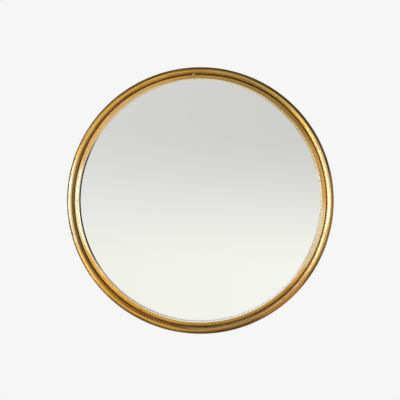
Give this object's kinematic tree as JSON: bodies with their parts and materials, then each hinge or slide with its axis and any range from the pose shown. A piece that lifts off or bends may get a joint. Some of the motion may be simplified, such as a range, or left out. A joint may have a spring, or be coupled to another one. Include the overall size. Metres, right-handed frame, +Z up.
{
  "type": "convex wall mirror",
  "caption": "Round convex butler's mirror in a rolled brass frame, with a board held by turn buttons and D-rings to hang it by.",
  "frame": {"origin": "on the wall's plane, behind the mirror's centre, where the bumpers' rear faces lie", "axes": "+Y along the mirror's axis into the wall, so the glass looks along -Y; +Z up; +X to the right as seen from the front"},
  "size_m": [0.45, 0.0522, 0.45],
  "materials": {
    "aged_brass": "antiqued brass, brushed round the ring, darker in the groove",
    "silvered_glass": "clear glass silvered on its back",
    "black_foam": "closed-cell foam strip",
    "grey_felt": "pressed felt strip",
    "black_board": "fibreboard, painted black",
    "zinc_plate": "zinc-plated steel",
    "black_rubber": "moulded rubber"
  },
  "bodies": {
    "mirror": {"bead_tube": "aged_brass", "sight_ring": "aged_brass", "frame_band": "aged_brass", "joint_braze": "aged_brass", "convex_glass": "silvered_glass", "glass_gasket": "black_foam", "packing_ring": "grey_felt", "back_board": "black_board", "button_lug_1": "aged_brass", "button_lug_2": "aged_brass", "button_lug_3": "aged_brass", "button_lug_4": "aged_brass", "button_lug_5": "aged_brass", "button_lug_6": "aged_brass", "button_washer_1": "zinc_plate", "button_washer_2": "zinc_plate", "button_washer_3": "zinc_plate", "button_washer_4": "zinc_plate", "button_washer_5": "zinc_plate", "button_washer_6": "zinc_plate", "button_screw_1": "zinc_plate", "button_screw_2": "zinc_plate", "button_screw_3": "zinc_plate", "button_screw_4": "zinc_plate", "button_screw_5": "zinc_plate", "button_screw_6": "zinc_plate", "hanger_strap_left": "zinc_plate", "hanger_strap_right": "zinc_plate", "hanger_bolt_left": "zinc_plate", "hanger_bolt_right": "zinc_plate", "hanger_washer_left": "zinc_plate", "hanger_washer_right": "zinc_plate", "hanger_nut_left": "zinc_plate", "hanger_nut_right": "zinc_plate", "wall_bumper_left": "black_rubber", "wall_bumper_right": "black_rubber"},
    "ring_left": {"hanger_ring_left": "zinc_plate"},
    "ring_right": {"hanger_ring_right": "zinc_plate"},
    "button_1": {"turn_button_1": "zinc_plate"},
    "button_2": {"turn_button_2": "zinc_plate"},
    "button_3": {"turn_button_3": "zinc_plate"},
    "button_4": {"turn_button_4": "zinc_plate"},
    "button_5": {"turn_button_5": "zinc_plate"},
    "button_6": {"turn_button_6": "zinc_plate"}
  },
  "joints": [
    {"name": "ring_left_swing", "type": "hinge", "parent": "mirror", "child": "ring_left", "pos_m": [-0.11005, -0.0042, 0.1201], "axis": [-1, 0, 0], "range_deg": [0, 170]},
    {"name": "ring_right_swing", "type": "hinge", "parent": "mirror", "child": "ring_right", "pos_m": [0.11005, -0.0042, 0.1201], "axis": [-1, 0, 0], "range_deg": [0, 170]},
    {"name": "button_1_turn", "type": "hinge", "parent": "mirror", "child": "button_1", "pos_m": [0.10925, -0.0061, 0.18923], "axis": [0, 1, 0], "continuous": true},
    {"name": "button_2_turn", "type": "hinge", "parent": "mirror", "child": "button_2", "pos_m": [0.2185, -0.0061, 0], "axis": [0, 1, 0], "continuous": true},
    {"name": "button_3_turn", "type": "hinge", "parent": "mirror", "child": "button_3", "pos_m": [0.10925, -0.0061, -0.18923], "axis": [0, 1, 0], "continuous": true},
    {"name": "button_4_turn", "type": "hinge", "parent": "mirror", "child": "button_4", "pos_m": [-0.10925, -0.0061, -0.18923], "axis": [0, 1, 0], "continuous": true},
    {"name": "button_5_turn", "type": "hinge", "parent": "mirror", "child": "button_5", "pos_m": [-0.2185, -0.0061, 0], "axis": [0, 1, 0], "continuous": true},
    {"name": "button_6_turn", "type": "hinge", "parent": "mirror", "child": "button_6", "pos_m": [-0.10925, -0.0061, 0.18923], "axis": [0, 1, 0], "continuous": true}
  ]
}
